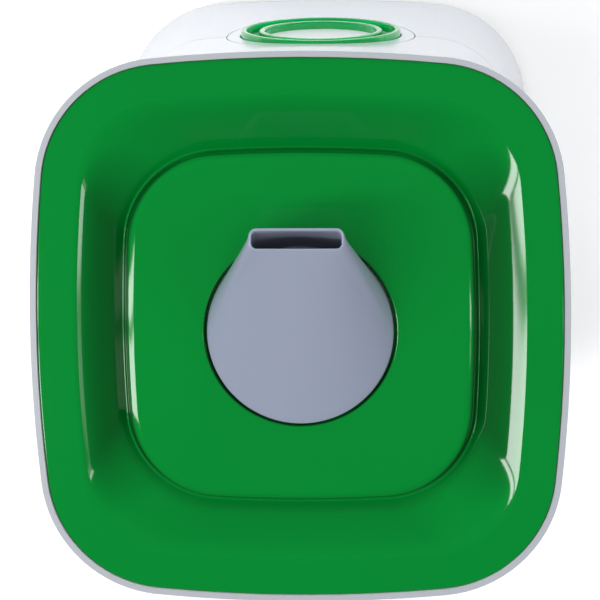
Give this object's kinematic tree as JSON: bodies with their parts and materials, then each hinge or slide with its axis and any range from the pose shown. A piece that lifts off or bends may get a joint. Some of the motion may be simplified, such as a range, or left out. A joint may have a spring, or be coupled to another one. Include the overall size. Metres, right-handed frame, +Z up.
{
  "type": "ultrasonic humidifier",
  "caption": "Waisted white tower humidifier: glossy green lid, slotted mist nozzle, round front knob, lift-off water tank on a base with fan and mist unit.",
  "frame": {"origin": "middle of the footprint, on the surface that the feet stand on", "axes": "+Z up through the tank, -Y towards the control knob (front), +X to the right seen from the front"},
  "size_m": [0.186, 0.192, 0.343],
  "materials": {
    "white_gloss": "glossy moulded plastic",
    "white_satin": "fine satin moulded plastic",
    "green_gloss": "high gloss moulded plastic",
    "green_clear": "tinted clear plastic",
    "smoke_clear": "translucent plastic",
    "grey_plastic": "moulded plastic",
    "black_plastic": "moulded plastic",
    "rubber": "soft rubber",
    "silicone": "silicone",
    "steel": "zinc plated",
    "magnet": "ferrite",
    "piezo": "nickel faced ceramic",
    "aluminium": "extruded",
    "board": "circuit board",
    "foam": "open foam"
  },
  "bodies": {
    "base": {"base_shell": "white_gloss", "bottom_cover": "white_satin", "rubber_feet": "rubber", "cover_screws": "steel", "water_basin": "white_satin", "basin_screws": "steel", "transducer_seal": "silicone", "transducer": "piezo", "transducer_retainer": "grey_plastic", "retainer_screws": "steel", "level_sensor": "black_plastic", "fan_housing": "black_plastic", "fan_motor": "steel", "air_filter": "foam", "air_duct": "grey_plastic", "air_sleeve": "white_satin", "fan_screws": "steel", "driver_board": "board", "heat_sink": "aluminium", "power_board": "board", "transformer": "black_plastic", "capacitors": "black_plastic", "board_screws": "steel", "cord_gland": "rubber", "control_panel": "white_gloss", "panel_housing": "grey_plastic", "rotary_control": "black_plastic", "control_board": "board"},
    "knob": {"knob_ring": "green_clear", "knob_cap": "white_satin", "knob_shaft": "steel"},
    "fan_rotor": {"fan_rotor": "black_plastic", "fan_shaft": "steel"},
    "float": {"float": "white_satin", "float_magnet": "magnet"},
    "tank": {"tank_shell": "white_gloss", "tank_floor": "white_satin", "filler_neck": "white_satin", "lid": "green_gloss", "lid_seal": "silicone", "mist_tube": "smoke_clear", "tube_seal": "silicone"},
    "tank_cap": {"tank_cap": "green_gloss", "cap_gasket": "silicone"},
    "valve": {"valve_stem": "grey_plastic", "valve_seal": "silicone", "valve_spring": "steel"},
    "nozzle_ring": {"nozzle_seal": "silicone"},
    "nozzle": {"nozzle": "white_gloss"}
  },
  "joints": [
    {"name": "knob_turn", "type": "hinge", "parent": "base", "child": "knob", "pos_m": [0, -0.08499, 0.082], "axis": [0, 0.9969, -0.0785], "range_deg": [0, 270]},
    {"name": "fan_spin", "type": "hinge", "parent": "base", "child": "fan_rotor", "pos_m": [-0.04, 0.02, 0.019], "axis": [0, 0, 1], "continuous": true},
    {"name": "float_rise", "type": "slide", "parent": "base", "child": "float", "axis": [0, 0, 1], "range_m": [0, 0.01]},
    {"name": "tank_lift", "type": "slide", "parent": "base", "child": "tank", "axis": [0, 0, 1], "range_m": [0, 0.15]},
    {"name": "cap_turn", "type": "hinge", "parent": "tank", "child": "tank_cap", "pos_m": [0, 0.048, 0.076], "axis": [0, 0, 1], "range_deg": [0, 90]},
    {"name": "valve_close", "type": "slide", "parent": "tank_cap", "child": "valve", "axis": [0, 0, 1], "range_m": [-0.003, 0], "deforming": ["valve_spring"]},
    {"name": "nozzle_lift", "type": "slide", "parent": "tank", "child": "nozzle_ring", "axis": [0, 0, 1], "range_m": [0, 0.04]},
    {"name": "nozzle_spin", "type": "hinge", "parent": "nozzle_ring", "child": "nozzle", "pos_m": [0, 0.0014, 0.312], "axis": [0, 0, 1], "continuous": true}
  ],
  "couplings": [
    {"joint": "valve_close", "follows": "tank_lift", "ratio": -0.02}
  ]
}
